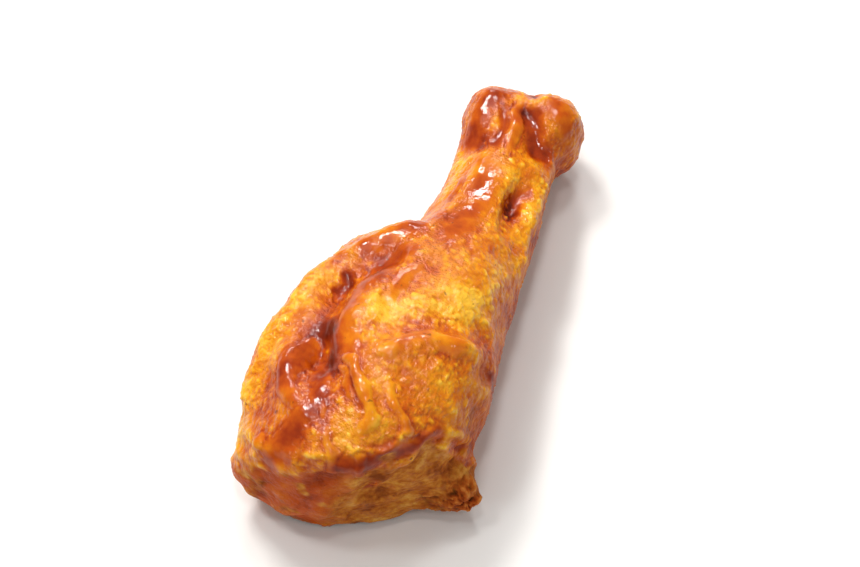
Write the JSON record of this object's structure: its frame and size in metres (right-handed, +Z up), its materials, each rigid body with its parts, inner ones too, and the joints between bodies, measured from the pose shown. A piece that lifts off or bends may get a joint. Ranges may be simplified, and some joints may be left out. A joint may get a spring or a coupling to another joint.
{
  "type": "sauced chicken drumette",
  "caption": "Fried chicken drumette with its skin on, glazed in hot sauce, lying on its underside with the shown side up.",
  "frame": {"origin": "under the middle of the drumette's bounding box, on the surface that it lies on", "axes": "+X along the bone towards the elbow end, +Y towards the web of skin, +Z up"},
  "size_m": [0.0932, 0.0454, 0.0325],
  "materials": {
    "sauced_skin": "golden-orange fried skin under a thin wet coat of red-orange hot sauce, tan to brown on the cut end"
  },
  "bodies": {
    "root": {"drumette": "sauced_skin"}
  },
  "joints": []
}
